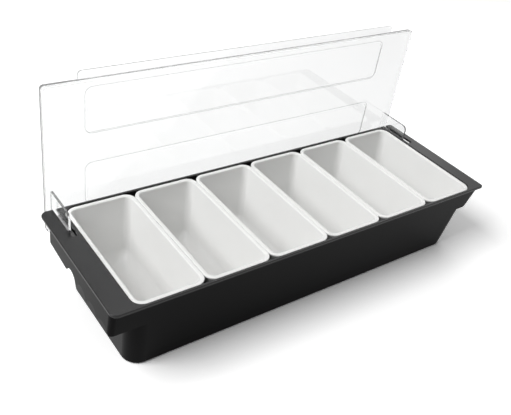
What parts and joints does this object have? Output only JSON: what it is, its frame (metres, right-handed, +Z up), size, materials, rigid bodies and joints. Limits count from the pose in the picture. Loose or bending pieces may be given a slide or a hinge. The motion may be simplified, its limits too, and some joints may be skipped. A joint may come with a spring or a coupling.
{
  "type": "condiment caddy",
  "caption": "Long drafted serving tub with a flat deck, a row of lift-out rectangular inserts hung by their rims, and a clear full-length lid on two side ears that swings up on hinge pins.",
  "frame": {"origin": "middle of the insert row, on the surface that the tub stands on", "axes": "+X along the row towards the end with the narrow overhanging lip, +Y towards the side the lid is hinged on, +Z up"},
  "size_m": [0.5, 0.1769, 0.2352],
  "materials": {
    "tub_black": "moulded black plastic, glossy with a fine texture",
    "insert_white": "smooth white food plastic, satin gloss",
    "lid_clear": "clear moulded plastic, polished, see-through",
    "pin_black": "black plastic pin"
  },
  "bodies": {
    "base": {"tub": "tub_black", "hinge_pin_left": "pin_black", "hinge_pin_right": "pin_black"},
    "insert_1": {"insert_1": "insert_white"},
    "insert_2": {"insert_2": "insert_white"},
    "insert_3": {"insert_3": "insert_white"},
    "insert_4": {"insert_4": "insert_white"},
    "insert_5": {"insert_5": "insert_white"},
    "insert_6": {"insert_6": "insert_white"},
    "lid": {"lid": "lid_clear"}
  },
  "joints": [
    {"name": "lid_hinge", "type": "hinge", "parent": "base", "child": "lid", "pos_m": [0, 0.07, 0.0757], "axis": [-1, 0, 0], "range_deg": [-90, 0]},
    {"name": "insert_1_lift", "type": "slide", "parent": "base", "child": "insert_1", "axis": [0, 0, 1], "range_m": [0, 0.085]},
    {"name": "insert_2_lift", "type": "slide", "parent": "base", "child": "insert_2", "axis": [0, 0, 1], "range_m": [0, 0.085]},
    {"name": "insert_3_lift", "type": "slide", "parent": "base", "child": "insert_3", "axis": [0, 0, 1], "range_m": [0, 0.085]},
    {"name": "insert_4_lift", "type": "slide", "parent": "base", "child": "insert_4", "axis": [0, 0, 1], "range_m": [0, 0.085]},
    {"name": "insert_5_lift", "type": "slide", "parent": "base", "child": "insert_5", "axis": [0, 0, 1], "range_m": [0, 0.085]},
    {"name": "insert_6_lift", "type": "slide", "parent": "base", "child": "insert_6", "axis": [0, 0, 1], "range_m": [0, 0.085]}
  ]
}
